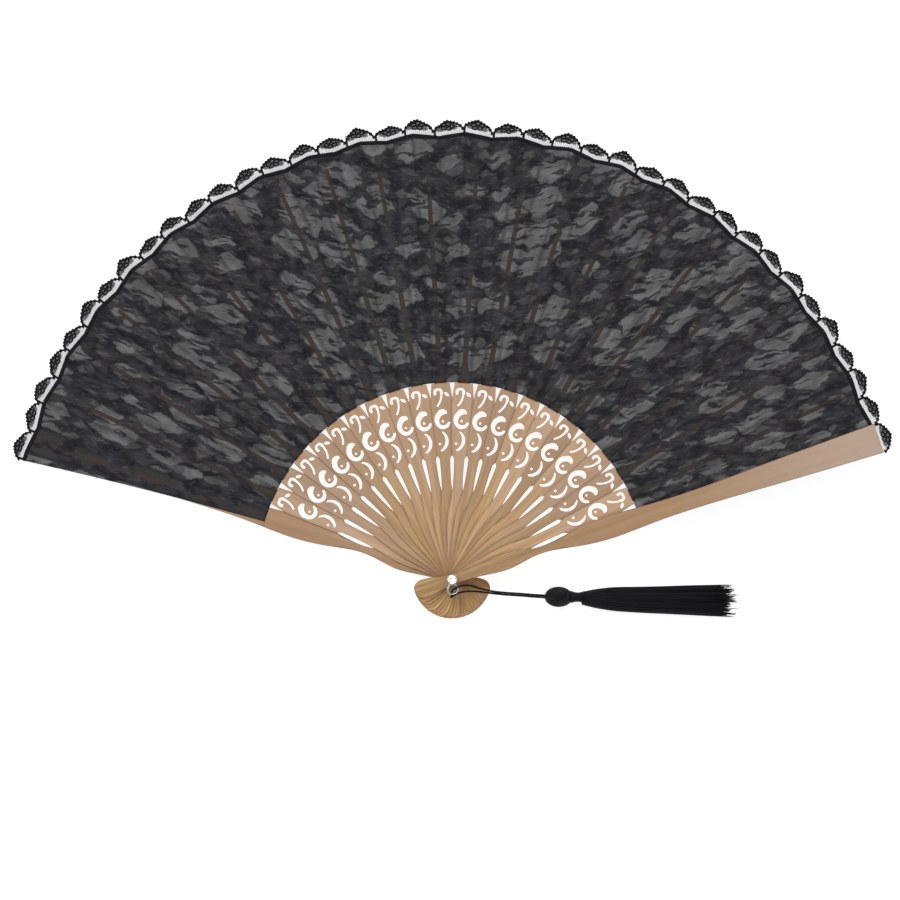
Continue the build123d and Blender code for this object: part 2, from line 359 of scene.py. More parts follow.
def thread_recipe(name, fineness, shine):
    """Black yarn. The noise is `fineness` to the metre."""
    recipe = Recipe(name, Specular_IOR_Level=0.22)
    fibre = recipe.noise(recipe.place(), fineness, detail=3)
    colour = recipe.mix(fibre.rising(0.35, 0.7), linear(7, 7, 9), linear(22, 21, 27))
    recipe.set(Base_Color=colour, Roughness=shine + fibre * 0.25)
    recipe.bump(fibre, 0.35, 0.00008)
    return recipe.material


cord_material = thread_recipe("twisted_cord", 2200, 0.42)
print("thread material:", cord_material.name)

# %% [markdown]
# ## The tassel's cord
# One thin cord leaves the knot, rises over the edge of the fan, goes down through the ring, round its wire,
# and comes back beside itself. It is a fixed length of a limp thing, so it is a smooth NURBS line through
# air, with a round bevel, and its points are listed.

# %% Cord
cord_diameter = 0.84 * MM
cord_points = [
    (39.5, -7.00, 4.5), (34.2, -6.70, 5.1), (29.4, -6.20, 7.9), (25.0, -5.85, 12.3), (20.9, -5.45, 16.9),
    (16.4, -4.95, 18.6), (11.6, -3.75, 18.9), (7.2, -2.30, 19.3), (3.6, -2.55, 20.0),
    (0.7, -3.85, 19.9), (-0.05, -4.85, 18.55), (-0.35, -5.7, 17.40), (-0.45, -7.45, 17.55),
    (-0.2, -7.45, 19.60), (1.3, -6.1, 19.75), (4.3, -5.05, 19.2),
    (8.3, -4.85, 18.7), (12.4, -5.20, 18.6), (16.6, -5.80, 18.5), (20.9, -6.30, 16.9), (25.0, -6.70, 12.3),
    (29.4, -7.05, 7.9), (34.2, -7.55, 5.1), (39.5, -7.85, 4.5),
]
cord_curve = bpy.data.curves.new("tassel_cord_line", "CURVE")
cord_curve.dimensions = "3D"
spline = cord_curve.splines.new("NURBS")
spline.points.add(len(cord_points) - 1)
cord_places = np.pad(np.array(cord_points) * MM, ((0, 0), (0, 1)), constant_values=1)
spline.points.foreach_set("co", cord_places.ravel())
spline.order_u = 3
spline.use_endpoint_u = True
spline.resolution_u = 10
cord_curve.bevel_depth = cord_diameter / 2
cord_curve.bevel_resolution = 4
cord_curve.use_fill_caps = True
cord_curve.materials.append(cord_material)
tassel_line = bpy.data.objects.new("tassel_line", cord_curve)
bpy.context.scene.collection.objects.link(tassel_line)
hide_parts("tassel_cord")
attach(tassel_line, "tassel")
print("cord:", len(cord_points), "points,", round(cord_diameter / MM, 2), "mm thick")

# %% [markdown]
# ## The table and the light
# A pale, faintly glowing table stands for the light box that small goods are laid on: its glow reaches the
# eye through the sheer cloth and the carved sticks. A wide lamp overhead and a weaker one at the side give
# soft shade with a direction.

# %% Table and lights
table_material = Recipe("pale_table", Roughness=0.9, Specular_IOR_Level=0.1, Emission_Strength=0.78,
                        Emission_Color=(1, 1, 1, 1))
table_tone = table_material.noise(table_material.place(), 3.0)
table_material.set(Base_Color=table_material.mix(table_tone, (0.50, 0.50, 0.50, 1), (0.52, 0.52, 0.52, 1)))
table_half, table_drop = 4.0, 0.02 * MM
corners = np.array([[-1, -1, 0], [1, -1, 0], [1, 1, 0], [-1, 1, 0]]) * [table_half, table_half, 0]
table = make_piece("table", corners + [0, 0, -table_drop], np.array([[0, 1, 2, 3]]), no_triangles,
                   table_material.material)

world = bpy.data.worlds.new("studio")
bpy.context.scene.world = world
world.use_nodes = True
sky = world.node_tree.nodes["Background"].inputs
sky["Color"].default_value = (0.95, 0.97, 1.0, 1)
sky["Strength"].default_value = 0.42


def lamp(name, place, aim, size, power):
    """A square lamp of this size in metres, turned to face the aim."""
    light = bpy.data.lights.new(name, "AREA")
    light.size, light.energy = size, power
    holder = bpy.data.objects.new(name, light)
    bpy.context.scene.collection.objects.link(holder)
    direction = np.array(aim) - np.array(place)
    yaw = math.atan2(direction[1], direction[0])
    tilt = math.acos(-direction[2] / np.linalg.norm(direction))
    holder.rotation_euler = (tilt, 0, yaw - math.pi / 2)
    holder.location = place
    return holder


leaf_middle = (0, 0.06, 0)
lamp("overhead", (-0.5, 0.9, 1.6), leaf_middle, 0.9, 16)
lamp("side", (1.2, -0.5, 1.2), leaf_middle, 0.7, 5)
print("lamps:", len(bpy.data.lights))

# %% [markdown]
# ## Bamboo
# The sticks are split bamboo, cut by laser. The fibres run along each stick, so the grain is noise
# stretched along the stick's own line, and each stick gets a turn of its own. The laser leaves a burnt line
# along every edge and dark walls. The outline's half width is known along the stick, so the distance to the
# edge is that half width less the distance from the centre line. The outlines list it in millimetres from
# the rivet.

# %% Bamboo recipe
tail_centre, tail_radius, tail_end = -12.6, 3.9, -16.5
stick_outline = [
    (-12.6, 3.9), (-5.5, 2.9), (0.5, 2.15), (13.3, 2.75), (24.6, 3.4), (31.0, 2.85), (36.8, 2.2),
    (41.0, 2.0), (46.0, 2.04), (50.3, 2.2), (51.6, 3.12), (60.0, 3.75), (68.0, 4.22), (75.2, 4.5),
    (82.0, 3.8),
]
guard_outline = [
    (-12.6, 3.9), (-5.5, 2.9), (0.5, 2.15), (13.3, 2.65), (24.6, 3.4), (34.4, 1.8), (41.0, 1.5), (53.4, 3.3),
    (67.9, 4.7), (86.0, 4.0), (103.0, 3.7), (141.0, 4.9), (187.0, 6.35),
]
outline_reach, outline_widest = 200.0, 8.0
tail_part, grip_part, head_part, tip_part = (-8, 4), (20, 50), (40, 60), (84, 185)


def bamboo_recipe(name, angle, outline, seed, tone, shade, far_colour):
    """Split bamboo whose fibres run at this angle. `tone` goes from pinkish, 0, to golden, 1.

    `shade` scales the brightness. The rivet's end has been handled and is golden and streaky, and the carved
    part and all beyond it lean to `far_colour`. A guard's tip is held less and is paler.
    """
    recipe = Recipe(name, Specular_IOR_Level=0.35)
    local = recipe.stretched(recipe.place(), (1000, 1000, 1000), turn=-angle)
    along, across = recipe.axis(local, "X"), recipe.axis(local, "Y")
    curve = [((x - tail_end) / outline_reach, half / outline_widest) for x, half in outline]
    half_width = recipe.node("FloatCurve", {"curve": curve}, {"Value": (along - tail_end) / outline_reach})
    straight = half_width * outline_widest - across.size()
    beyond = (tail_centre - along).most(0)
    rounded = tail_radius - (beyond ** 2 + across ** 2) ** 0.5
    inside = straight.least(rounded + 50 * along.rising(tail_centre - 0.1, tail_centre + 0.1))
    fibre = recipe.noise(recipe.stretched(local, (0.035, 3.2, 0.5), shift=(seed, seed * 3, 0)), 1.0, 4, 0.65)
    band = recipe.noise(recipe.stretched(local, (0.02, 0.45, 0.2), shift=(seed * 2, seed, 5)), 1.0, 2)
    speck = recipe.noise(recipe.stretched(local, (0.25, 5.0, 1.0), shift=(0, seed, 0)), 1.0, 2)
    pale = linear(*(np.array([216, 184, 154]) - tone * np.array([8, 12, 30])) * shade)
    deep = linear(*(np.array([178, 140, 107]) - tone * np.array([4, 6, 22])) * shade)
    wood = recipe.mix(fibre.rising(0.3, 0.72) * 0.55 + band.rising(0.3, 0.7) * 0.45, deep, pale)
    handled = (1 - along.rising(*grip_part)) * 0.30 + (1 - along.rising(*tail_part)) * 0.42
    golden = recipe.mix(fibre.rising(0.38, 0.66), linear(170 * shade, 123 * shade, 71 * shade),
                        linear(238 * shade, 194 * shade, 132 * shade))
    wood = recipe.mix(handled, wood, golden)
    wood = recipe.mix(along.rising(*head_part) * 0.45, wood, linear(*np.array(far_colour) * shade))
    wood = recipe.mix(along.rising(*tip_part) * 0.75, wood, linear(199, 176, 157))
    wood = recipe.mix(speck.rising(0.62, 0.75) * 0.30, wood, linear(136, 100, 72))
    burn_width = 0.30
    burn = (1 - inside.rising(0.0, burn_width)) * (0.25 + 0.75 * along.rising(*tail_part))
    normal = recipe.node("NewGeometry", output="Normal")
    wall = 1 - recipe.axis(normal, "Z").size().rising(0.25, 0.6)
    wood = recipe.mix((burn * 0.55).most(wall * 0.85), wood, linear(92, 58, 38))
    recipe.set(Base_Color=wood, Roughness=0.42 + fibre * 0.22)
    recipe.bump(fibre + speck * 0.5, 0.25, 0.00006)
    return recipe.material


# %% [markdown]
# Every stick is a little different, because each was split from another place in the culm. A seeded draw
# gives each one its own tone and its own stretch of grain.

# %% Dress the sticks and guards
draw = np.random.default_rng(21)
for index, body in enumerate(chain):
    is_guard = index in (0, gaps)
    tone = float(np.clip(0.15 + 0.6 * index / gaps + draw.normal(0, 0.30), 0, 1))
    seed = float(draw.uniform(0, 80))
    shade = 0.93 if is_guard else float(draw.uniform(0.94, 1.07))
    outline, far_colour = (guard_outline, (192, 143, 106)) if is_guard else (stick_outline, (192, 158, 133))
    angle = first_angle - index * pitch
    dress(body, bamboo_recipe(f"bamboo_{body}", angle, outline, seed, tone, shade, far_colour))
print("bamboo materials:", len(chain))

# %% [markdown]
# ## Silver and the stone
# The rivet, its collar, the ring and the setting are plated steel: bright, with fine scratches from
# handling. The stone is a small brilliant: a flat table, a crown of facets, a thin girdle and a deep
# pavilion. Rings of points at those levels, each turned by half a step, join into flat facets.

# %% Metal
silver = Recipe("silver_plate", Metallic=1.0)
wear = silver.noise(silver.stretched(silver.place(), (900, 5000, 900)), 1.0, 3)
silver.set(Base_Color=silver.mix(wear.rising(0.3, 0.7), linear(196, 196, 200), linear(232, 232, 235)),
           Roughness=0.16 + wear * 0.2)
silver.bump(wear, 0.1, 0.00002)
for node in ("rivet", "rivet_collar", "tassel_ring", "stone_setting"):
    dress(node, silver.material)
    print("silver:", node)

# %% Stone
# The stone's sparkle is painted: the facets that the noise picks out glow a faint warm white. This stands in
# for the light that a cut stone throws back.
crystal = Recipe("clear_crystal", Transmission_Weight=0.3, IOR=1.7, Coat_Weight=0.6)
haze_and_painted_sparkle = crystal.noise(crystal.place(), 900)
crystal.set(Base_Color=crystal.mix(haze_and_painted_sparkle, linear(232, 228, 220), linear(255, 255, 252)),
            Roughness=haze_and_painted_sparkle * 0.04,
            Emission_Color=crystal.mix(haze_and_painted_sparkle.rising(0.42, 0.55), (0, 0, 0, 1), linear(255, 246, 232)),
            Emission_Strength=0.55)
stone_low, stone_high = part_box("stone")
girdle_radius = (stone_high.x - stone_low.x) / 2
girdle_height = stone_low.z + 0.42 * (stone_high.z - stone_low.z)
facets = 12
stone_rings = [
    (0.12, stone_low.z, 0), (0.62, stone_low.z + 0.55 * (girdle_height - stone_low.z), 0.5),
    (1.0, girdle_height, 0), (1.0, girdle_height + 0.06 * MM, 0.0),
    (0.80, stone_high.z - 0.28 * MM, 0.5), (0.55, stone_high.z, 0),
]
ring_share = np.array([share for share, _, _ in stone_rings]) * girdle_radius
ring_height = np.array([height for _, height, _ in stone_rings])
ring_turn = np.array([turn for _, _, turn in stone_rings]) * 2 * np.pi / facets
turns = np.arange(facets) * 2 * np.pi / facets + ring_turn[:, None]
stone_points = np.stack([
    ring_share[:, None] * np.cos(turns), ring_share[:, None] * np.sin(turns),
    np.repeat(ring_height[:, None], facets, axis=1)], axis=2)
number = np.arange(len(stone_rings) * facets).reshape(-1, facets)
triangles = []
for ring_index in range(len(stone_rings) - 1):
    here, above = number[ring_index], number[ring_index + 1]
    if ring_turn[ring_index] > ring_turn[ring_index + 1]:
        triangles += [np.stack([here, np.roll(here, -1), np.roll(above, -1)], 1),
                      np.stack([here, np.roll(above, -1), above], 1)]
    else:
        triangles += [np.stack([here, np.roll(here, -1), above], 1),
                      np.stack([np.roll(here, -1), np.roll(above, -1), above], 1)]
table_centre, culet = len(stone_rings) * facets, len(stone_rings) * facets + 1
triangles += [
    np.stack([number[-1], np.roll(number[-1], -1), np.full(facets, table_centre)], 1),
    np.stack([np.roll(number[0], -1), number[0], np.full(facets, culet)], 1),
]
stone_points = np.concatenate([stone_points.reshape(-1, 3), [[0, 0, stone_high.z], [0, 0, stone_low.z]]])
brilliant = make_piece("brilliant", stone_points, no_quads, np.concatenate(triangles), crystal.material,
                       smooth=False)
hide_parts("stone")
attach(show(brilliant), "rear_guard")

# %% [markdown]
# ## The lace
# Black floral lace lies over a sheer ground. Seen from an arm's length it is a mottled dark cloth with grey
# windows where there is no flower. The pattern is drawn in the cloth's own flat coordinates, in
# millimetres, so that it folds with the pleats. Windows sit at the points of a Voronoi diagram. Adding a
# point's distances across and up, rather than their squares, gives a window pointed ends, and each has a
# slant of its own. Leaves are noise stretched across the cloth: they cut dark bars out of the windows, and
# finer ones leave grey flecks where the thread catches the light.

# %% Lace recipe


def lace_recipe():
    """Black lace: dense flowers and leaves, sheer windows between them, and flecks of thread across."""
    recipe = Recipe("black_lace", Specular_IOR_Level=0.2, Sheen_Weight=0.03, Sheen_Roughness=0.5)
    cloth = recipe.node("UVMap", {"uv_map": "cloth"})
    drift = recipe.node("TexNoise", inputs={"Vector": cloth, "Scale": 0.13, "Detail": 3.0}, output="Color")
    bent = recipe.node("VectorMath", {"operation": "MULTIPLY_ADD"}, {0: drift, 1: (7, 6, 0), 2: cloth})
    fray = recipe.noise(cloth, 0.55, detail=3, roughness=0.65)

    def windows(across_cell, up_cell, reach, shift):
        """Openings, 1 inside and 0 outside, one to a cell of this size. `reach` is their radius in cells."""
        laid = recipe.stretched(bent, (1 / across_cell, 1 / up_cell, 1), shift=shift)
        cells = {"voronoi_dimensions": "2D", "feature": "F1"}
        inputs = {"Vector": laid, "Scale": 1.0, "Randomness": 0.8}
        point = recipe.node("TexVoronoi", cells, inputs, output="Position")
        chance = recipe.node("TexVoronoi", cells, inputs, output="Color")
        away = recipe.node("VectorMath", {"operation": "SUBTRACT"}, {0: laid, 1: point})
        across, up = recipe.axis(away, "X"), recipe.axis(away, "Y")
        slant = across + up * (recipe.axis(chance, "X") - 0.5) * 1.4
        far = (slant.size() ** 1.25 + up.size() ** 1.25) ** 0.8
        inside = reach * (0.55 + 0.8 * recipe.axis(chance, "Y")) - far + (fray - 0.5) * 0.20
        return inside.rising(-0.03, 0.06)

    bar = recipe.noise(recipe.stretched(bent, (0.09, 0.42, 1)), 1.0, 2).rising(0.54, 0.60)
    large, small = windows(23, 12.5, 0.43, (0, 0, 0)), windows(13, 7, 0.30, (31, 17, 0))
    open_cloth = large.most(small * 0.65) * (1 - bar * 0.85)
    fleck = recipe.noise(recipe.stretched(bent, (0.28, 1.15, 1), shift=(5, 9, 0)), 1.0, 3).rising(0.52, 0.70)
    mottle = recipe.noise(recipe.stretched(bent, (0.13, 0.21, 1), shift=(0, 40, 0)), 1.0, 4)
    mottle = mottle.rising(0.36, 0.68)
    thread = recipe.noise(recipe.stretched(cloth, (0.6, 3.2, 1)), 1.0, 2)
    light = (fleck * 0.50 + mottle * 0.36) * (0.80 + thread * 0.4)
    hue = recipe.noise(recipe.stretched(cloth, (0.05, 0.05, 1), shift=(60, 0, 0))).rising(0.35, 0.65)
    dark = recipe.mix(hue, linear(27, 27, 29), linear(29, 27, 35))
    colour = recipe.mix(open_cloth, recipe.mix(light, dark, linear(88, 87, 88)), linear(64, 63, 64))
    pleat = recipe.node("UVMap", {"uv_map": "pleat"})
    share, reach = recipe.axis(pleat, "X"), recipe.axis(pleat, "Y")
    wide = reach * pitch
    over_rib = 1 - (share.size() * wide).rising(0.8, 1.3)
    colour = recipe.mix(over_rib * (0.11 + open_cloth * 0.50), colour, linear(78, 65, 56))
    # Painted shade: along each fold line the cloth is darkened and made less sheer. It stands in for the
    # shade of a deeper pleat.
    painted_fold_shade = 1 - ((share.size() - 0.25).size().least((share + 0.75).size()) * wide).rising(0.0, 1.4)
    colour = recipe.mix(painted_fold_shade * 0.35, colour, linear(26, 25, 28))
    sheer = open_cloth * (1 - painted_fold_shade * 0.25) * (0.25 + mottle * 0.12)
    recipe.set(Base_Color=colour, Alpha=1 - sheer - fleck * 0.06, Roughness=0.62 + thread * 0.3)
    recipe.bump((1 - open_cloth) * 0.6 + thread * 0.5, 0.4, 0.00012)
    return recipe.material


lace_material = lace_recipe()
print("nodes in the lace:", len(lace_material.node_tree.nodes))

# %% [markdown]
# ## The shape of the leaf
# The leaf is one pleated cloth. Over each stick it is glued to the rib, and between sticks it is free, so
# that it folds like a paper fan: the glued half of each pitch stays with its stick, and the free half turns
# over onto it. The piece is split where each glued half begins, so each panel holds a glued half and the
# free half to its right. In height each free half climbs to the next stick's level close to its right
# edge, and the pleats stand a little proud of the ribs.

# %% Leaf formulas
leaf_node = frame["nodes"]["leaf_10"]
leaf_co = np.zeros(len(leaf_node.data.vertices) * 3)
leaf_node.data.vertices.foreach_get("co", leaf_co)
leaf_reach = np.hypot(*leaf_co.reshape(-1, 3)[:, :2].T)
leaf_inner = leaf_reach.min()
leaf_outer = 185.9 * MM
trim_outer = leaf_reach.max()
rib_levels = np.array([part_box(f"leaf_{number:02d}")[0].z for number in range(1, gaps + 1)]) - 0.04 * MM
level_step = np.diff(rib_levels).mean()
cloth_thickness = 0.10 * MM
glue_gap = 0.02 * MM
free_lift = 0.13 * MM
pleat_slope = 0.30
climb_start = 0.72
edge_zigzag = 0.8 * MM
shoulder_reach, shoulder_flat = [83.5, 92], [3.2, 1.3]
print("leaf from", round(leaf_inner / MM, 1), "to", round(leaf_outer / MM, 1), "mm,",
      "each level", round(level_step / MM, 3), "mm up")


def pleat_height(index):
    """The most that a panel's pleats may stand up or down: less near the guards, which press them flat."""
    return np.minimum(1.3, 0.25 * np.minimum(index, gaps - 1 - index).clip(0)) * MM


def leaf_height(index, turn, radius):
    """The leaf's upper face over panel `index`, at an angle from its stick and a distance from the rivet.

    Glued half: the rib's level, flat near the rib and over a wider strip beside its shoulder, then falling
    to the right of it and rising to the left.
    Free half: the mirror image of that, lifted clear of it, and climbing one level in its last quarter.
    """
    radius = np.minimum(radius, leaf_outer)
    share = np.clip((-turn - pitch / 4) / (pitch / 2), 0, 1)
    folded = np.where(turn > -pitch / 4, turn, -(turn + pitch / 2))
    folded = np.clip(folded, -pitch / 4, pitch / 4)
    half_facet = radius * pitch / 4
    rib_zone = np.interp(radius / MM, shoulder_reach, shoulder_flat) * MM
    flat = np.minimum(rib_zone, half_facet - 0.2 * MM)
    lean = np.clip((np.abs(folded) * radius - flat) / (half_facet - flat), 0, 1) ** 1.2
    most = pleat_height(index) * (1 - share) + pleat_height(index + 1) * share
    relief = np.minimum(most, pleat_slope * (half_facet - flat)) * lean * np.sign(folded)
    lift = free_lift * np.clip(share / 0.2, 0, 1)
    climb = np.clip((share - climb_start) / (1 - climb_start), 0, 1)
    climb = climb * climb * (3 - 2 * climb) * (level_step - lift)
    if index == gaps - 1:
        climb = climb * (2 * free_lift - lift) / (level_step - lift)
    return rib_levels[index] + glue_gap + cloth_thickness + relief + lift + climb


def edge_radius(turn):
    """The leaf's outer edge: it zigzags by a millimetre, out at the ridges and in at the valleys."""
    folded = np.where(turn > -pitch / 4, turn, -(turn + pitch / 2))
    return leaf_outer - 0.9 * MM + edge_zigzag * np.clip(folded / (pitch / 4), -1, 1)


def place(index, turn, radius, lift=0.0):
    """Points in the fan's frame, from an angle off stick number `index` and a distance from the rivet."""
    angle = first_angle - index * pitch + turn
    height = leaf_height(index, turn, radius) + lift
    return np.stack(np.broadcast_arrays(radius * np.cos(angle), radius * np.sin(angle), height), axis=-1)


def fold_with(piece, index):
    """Bakes the piece's place into its points and works out each point's share across the free half, which is
    not used.
    """
    spot = first_angle - index * pitch
    start, end = ((math.cos(spot + turn), math.sin(spot + turn), 0) for turn in (-pitch / 4, -0.75 * pitch))
    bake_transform(piece)
    co = np.zeros(len(piece.data.vertices) * 3)
    piece.data.vertices.foreach_get("co", co)
    x, y = co.reshape(-1, 3)[:, :2].T
    turn = np.arctan2(y, x) - spot
    turn = (turn + np.pi) % (2 * np.pi) - np.pi
    share = np.clip((-turn - pitch / 4) / (pitch / 2), 0, 1)
    return piece


# %% [markdown]
# The first panel also covers the rear guard, a little past its edge, and the last goes on under the front
# guard to its far edge. The pleats take up some of the cloth's width, so the lace pattern lies a little
# closer across the fan than up it: a point's flat place has its angle opened up to a half circle.

# %% Leaf panels
pattern_spread = math.pi
guard_reach = math.radians(1.9)
overhang = math.radians(1.4), math.radians(2.9)
rows, columns_per_facet = 84, 16


def panel_turns(index, radius):
    """The angles of the panel's columns at each radius, from the left edge to the right one."""
    steps = np.linspace(0, 1, columns_per_facet + 1)
    left = np.full(len(radius), pitch / 4)
    if index == 0:
        left = overhang[0] + (overhang[1] - overhang[0]) * (radius - leaf_inner) / (leaf_outer - leaf_inner)
    glued = left[:, None] + (-pitch / 4 - left[:, None]) * steps
    free = np.broadcast_to(-pitch / 4 - pitch / 2 * steps[1:], (len(radius), columns_per_facet))
    facets_across = [glued, free]
    if index == gaps - 1:
        under = -0.75 * pitch + (-pitch - guard_reach + 0.75 * pitch) * steps[1:]
        facets_across.append(np.broadcast_to(under, (len(radius), columns_per_facet)))
    return np.concatenate(facets_across, axis=1)


panels = []
for index in range(gaps):
    radius = leaf_inner + (leaf_outer - leaf_inner) * np.linspace(0, 1, rows)
    turn = panel_turns(index, radius)
    edge = edge_radius(turn)
    reach = leaf_inner + (edge - leaf_inner) * np.linspace(0, 1, rows)[:, None]
    top = place(index, turn, reach)
    angle = first_angle - index * pitch + turn
    flat_angle = np.pi / 2 + (angle - np.pi / 2) * pattern_spread / (gaps * pitch)
    cloth = np.stack([reach * np.cos(flat_angle), reach * np.sin(flat_angle)], axis=2) / MM
    pleat = np.stack([turn / pitch, reach / MM], axis=2)
    panel = slab(f"leaf_panel_{index + 1:02d}", top, cloth_thickness, lace_material,
                 cloth=cloth, pleat=pleat)
    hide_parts(f"leaf_{index + 1:02d}")
    panels.append(fold_with(panel, index))
show(panels[0]), show(panels[10])

# %% [markdown]
# ## The crocheted edge
# A flat cord runs along the leaf's edge, and a row of scallops rises from it: a short post between each
# two, a knobbly arch from post to post, a flower of small loops under the arch, and a thin net behind them.
# All of it lies flat on the leaf, and it is cut into one piece for each panel.

# %% Edge formulas
edge_material = thread_recipe("crochet_thread", 1500, 0.55)
net_recipe = Recipe("pale_net", Specular_IOR_Level=0.2, Roughness=0.8)
net_place = net_recipe.node("UVMap", {"uv_map": "cloth"})
mesh_cells = {"voronoi_dimensions": "2D", "feature": "DISTANCE_TO_EDGE"}
mesh_line = net_recipe.node("TexVoronoi", mesh_cells, {"Vector": net_place, "Scale": 1.2, "Randomness": 0.5})
net_thread = 1 - mesh_line.rising(0.03, 0.12)
aside, rise = net_recipe.axis(net_place, "X"), net_recipe.axis(net_place, "Y")
from_flower = (aside / 4.9) ** 2 + ((rise - 4.4) / 2.2) ** 2
worked = 1 - (from_flower + net_recipe.noise(net_place, 0.8) * 1.5).rising(1.35, 1.75)
net_recipe.set(Base_Color=net_recipe.mix(net_thread.most(worked), linear(150, 150, 155), linear(22, 22, 26)),
               Alpha=0.12 + net_thread * 0.30 + worked * 0.48)
net_material = net_recipe.material

post_height = 2.9 * MM
arch_height = trim_outer - leaf_outer - 0.4 * MM
scallop_count = 39
arch_knobs = 10
petals = 5
petal_half, stem_half = 0.33 * MM, 0.24 * MM
arch_form, post_form, braid_form = (6, 0.20), (6, 0.17), (6, 0.16)
stem_form, petal_form = (5, 0.45), (5, 0.33)
edge_left, edge_right = first_angle + overhang[1], first_angle - gaps * pitch - guard_reach


def panel_at(angle):
    """The number of the panel that holds an angle, from 0 at the left."""
    return np.clip((first_angle + pitch / 4 - angle) // pitch, 0, gaps - 1)


def edge_at(angle):
    """The leaf's outer edge at an angle in the fan's frame."""
    return edge_radius(angle - first_angle + panel_at(angle) * pitch)


def scallop(left, right, tall, lean):
    """The threads of one scallop between two angles, as (angles, distances, half widths, sides, flatness).

    First the lines that a panel's end may cut, the arch and the stems, whose angles rise. Then the whole
    ones, the post and the petals. Last, how far aside of the flower each point of the arch lies, in mm.
    """
    wide = left - right
    steps = np.linspace(1, 0, 61)
    hill = np.sin(np.pi * steps).clip(0) ** 0.62
    arch_angle = left - wide * (steps + lean * np.sin(np.pi * steps) ** 2)
    foot = edge_at(left - wide * steps)
    shoulder = post_height * 0.62
    crest = 0.45 * MM * np.exp(-((steps - 0.5 - lean) / 0.10) ** 2)
    arch_radius = foot + shoulder + (tall - 0.5 * MM - shoulder) * hill + crest
    bumps = (0.56 + 0.22 * np.cos(2 * np.pi * arch_knobs * steps)) * MM
    middle = left - wide * (0.5 + lean)
    middle_radius = edge_at(middle) + tall * 0.66
    stem_x = np.array([[-2.1, -5.2], [5.2, 2.1], [-0.8, -1.7], [1.7, 0.8]])
    stem_y = np.array([[-0.3, -0.2], [-0.2, -0.3], [0.9, 1.7], [1.7, 0.9]])
    stem_steps = np.linspace(0, 1, 12)
    reach_x = stem_x[:, :1] + (stem_x[:, 1:] - stem_x[:, :1]) * stem_steps
    reach_y = stem_y[:, :1] + (stem_y[:, 1:] - stem_y[:, :1]) * stem_steps + 0.3 * np.sin(np.pi * stem_steps)
    open_lines = [(arch_angle, arch_radius, bumps, *arch_form)]
    for x, y in zip(reach_x, reach_y):
        half = np.full(len(stem_steps), stem_half)
        open_lines.append((middle - x * MM / middle_radius, middle_radius + y * MM, half, *stem_form))
    petal = np.arange(petals) * 2 * np.pi / petals + 0.4 + lean * 12
    ring = np.linspace(0, 2 * np.pi, 15)
    petal_x = 1.90 * np.cos(petal)[:, None] + 1.00 * np.cos(ring)
    petal_y = 0.98 * np.sin(petal)[:, None] + 0.68 * np.sin(ring)
    whole_lines = [(middle - x * MM / middle_radius, middle_radius + y * MM, petal_half, *petal_form)
                   for x, y in zip(petal_x, petal_y)]
    post_steps = np.linspace(-0.1, 1.0, 9)
    whole_lines.append((left - wide * 0.045 + 0 * post_steps, foot[-1] + post_height * post_steps,
                        (0.72 - 0.25 * np.sin(np.pi * post_steps)) * MM, *post_form))
    return open_lines, whole_lines, (middle - arch_angle) * leaf_outer / MM


def cut(low, high, angles, *measures):
    """The part of a line between two angles. Its angles rise, and a cut end gets a point of its own."""
    within = (angles > low) & (angles < high)
    first = [low] if angles[0] <= low <= angles[-1] else []
    last = [high] if angles[0] <= high <= angles[-1] else []
    return [np.concatenate([np.interp(first, angles, line), line[within], np.interp(last, angles, line)])
            for line in (angles, *measures)]


def lay(index, angle, radius, half, sides, flatness):
    """A thread that lies flat on a panel, along these angles and distances from the rivet."""
    path = place(index, angle - first_angle + index * pitch, radius)
    return tubes(path[None], np.broadcast_to(half, (1, len(path))), sides, flatness)


# %% [markdown]
# The edge was made by the metre and sewn on, so its scallops take no notice of the folds. Each is laid out
# along the whole edge first. Then every panel takes the part that lies on it: an arch or a stem is cut at
# the panel's ends, and a post or a petal goes whole to the panel that holds its middle.

